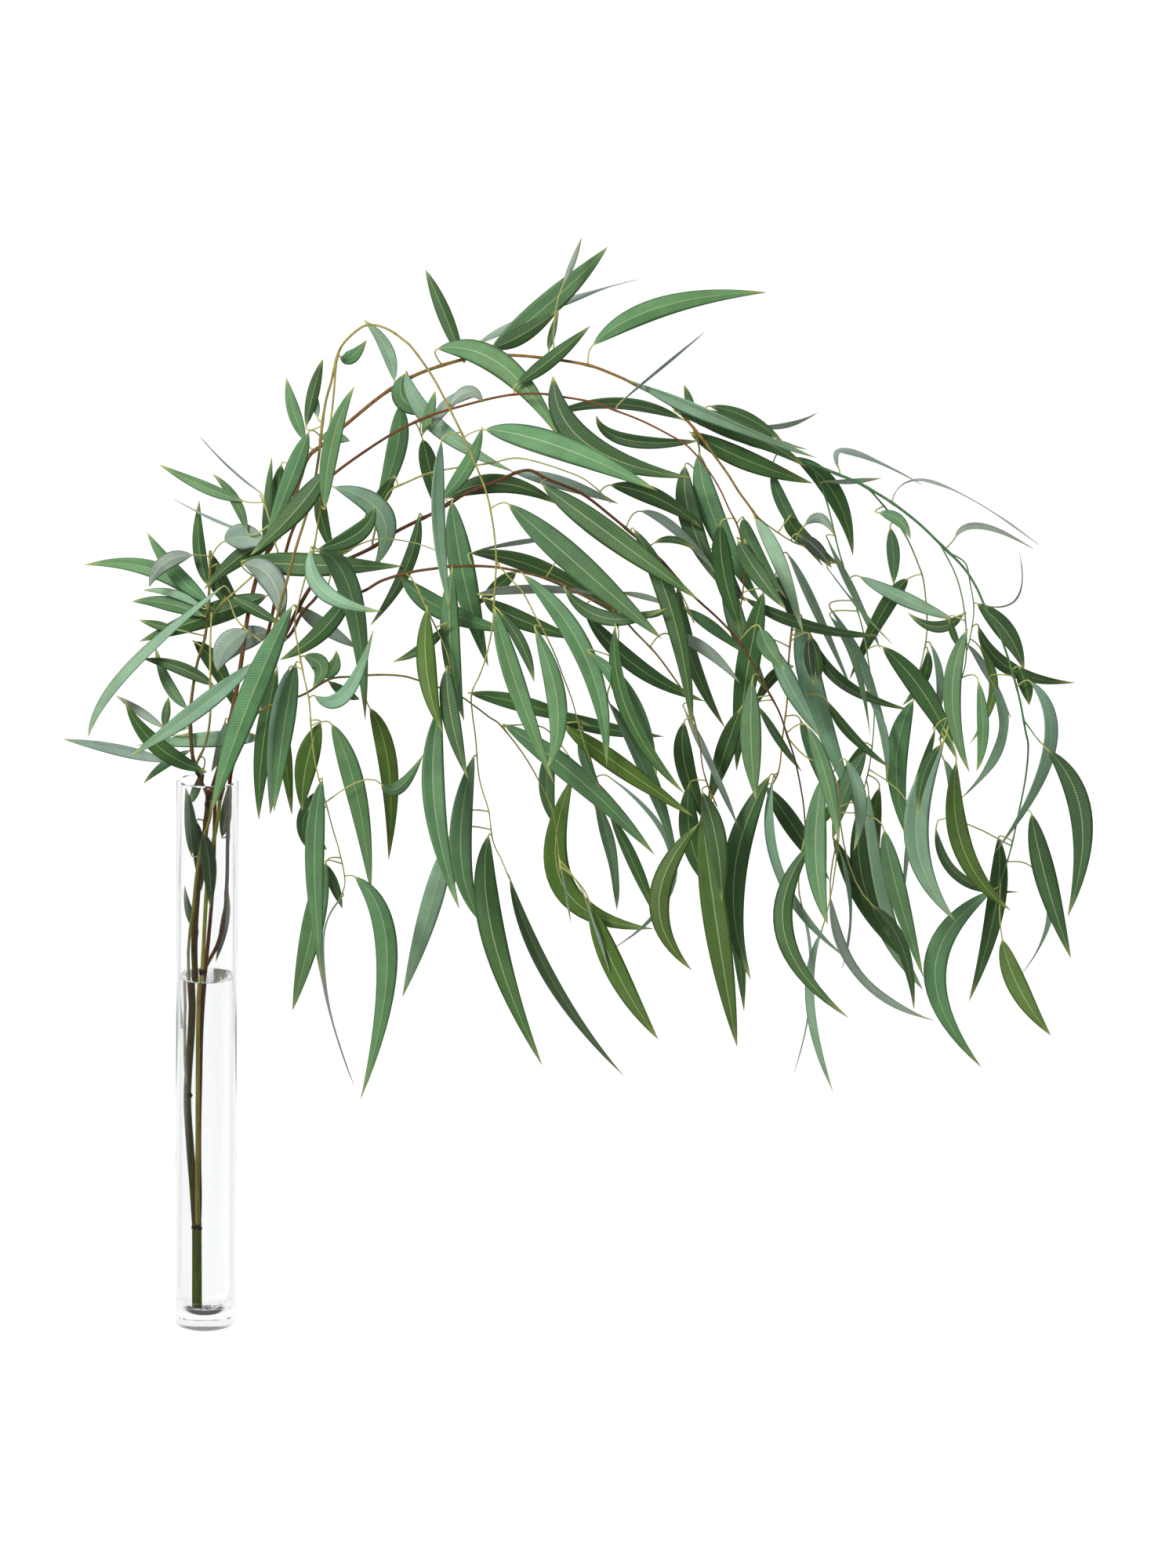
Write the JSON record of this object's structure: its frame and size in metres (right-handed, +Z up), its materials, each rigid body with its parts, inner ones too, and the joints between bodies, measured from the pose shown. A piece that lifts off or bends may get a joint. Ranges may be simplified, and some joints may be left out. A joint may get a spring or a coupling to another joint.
{
  "type": "eucalyptus branch in a vase",
  "caption": "A cut eucalyptus branch with long sickle-shaped leaves that arches to one side from a tall, slim cylinder vase of clear glass, part filled with water.",
  "frame": {"origin": "centre of the vase's foot, on the surface it stands on", "axes": "+Z is up; +X is the side that the branch arches to; the front view looks along +Y"},
  "size_m": [0.8893, 0.2847, 0.9746],
  "materials": {
    "bark": "matte",
    "foliage": "satin",
    "glass": "gloss",
    "water": "gloss"
  },
  "bodies": {
    "root": {"base_stem": "bark", "left_spray": "foliage", "front_arch": "foliage", "high_arch": "foliage", "far_spray": "foliage", "second_arch": "foliage", "middle_arch": "foliage", "low_arch": "foliage", "lowest_arch": "foliage", "vase": "glass", "water": "water"}
  },
  "joints": []
}
